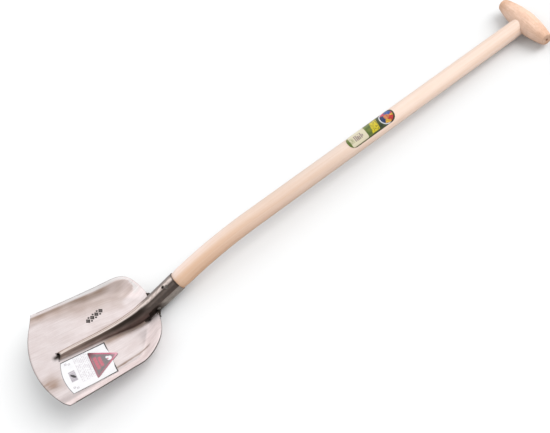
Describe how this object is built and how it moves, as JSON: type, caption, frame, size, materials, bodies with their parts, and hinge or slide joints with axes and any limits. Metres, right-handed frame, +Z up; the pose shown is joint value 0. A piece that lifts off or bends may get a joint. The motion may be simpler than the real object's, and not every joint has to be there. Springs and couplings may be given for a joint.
{
  "type": "garden spade",
  "caption": "Scoop-bladed garden spade with raised sides, a pressed ridge and socket, a bent wooden shaft and a turned crossbar grip, lying on its heel and grip.",
  "frame": {"origin": "on the ground under the middle of the spade's bounding box, as it lies on its heel and its grip", "axes": "+X from the cutting edge towards the grip, +Y across the blade, +Z up out of the blade's hollow side"},
  "size_m": [1.2234, 0.248, 0.089],
  "materials": {
    "blade_steel": "ground bright along its length, satin",
    "socket_steel": "dark mill scale, satin",
    "ash_wood": "sanded smooth, clear matt finish",
    "grip_wood": "turned and sanded, matt",
    "wedge_wood": "sawn hardwood",
    "nail_steel": "plain steel, dull",
    "label_paper": "coated card, semi-matt",
    "sticker_film": "printed film, semi-gloss",
    "sticker_paper": "printed sticker, semi-gloss"
  },
  "bodies": {
    "root": {"blade": "blade_steel", "socket_back": "socket_steel", "shaft": "ash_wood", "grip": "grip_wood", "tenon_wedge": "wedge_wood", "socket_nail": "nail_steel", "left_side_nail": "nail_steel", "right_side_nail": "nail_steel", "blade_label": "label_paper", "triangle_sticker": "sticker_film", "shaft_sticker": "sticker_paper"}
  },
  "joints": []
}
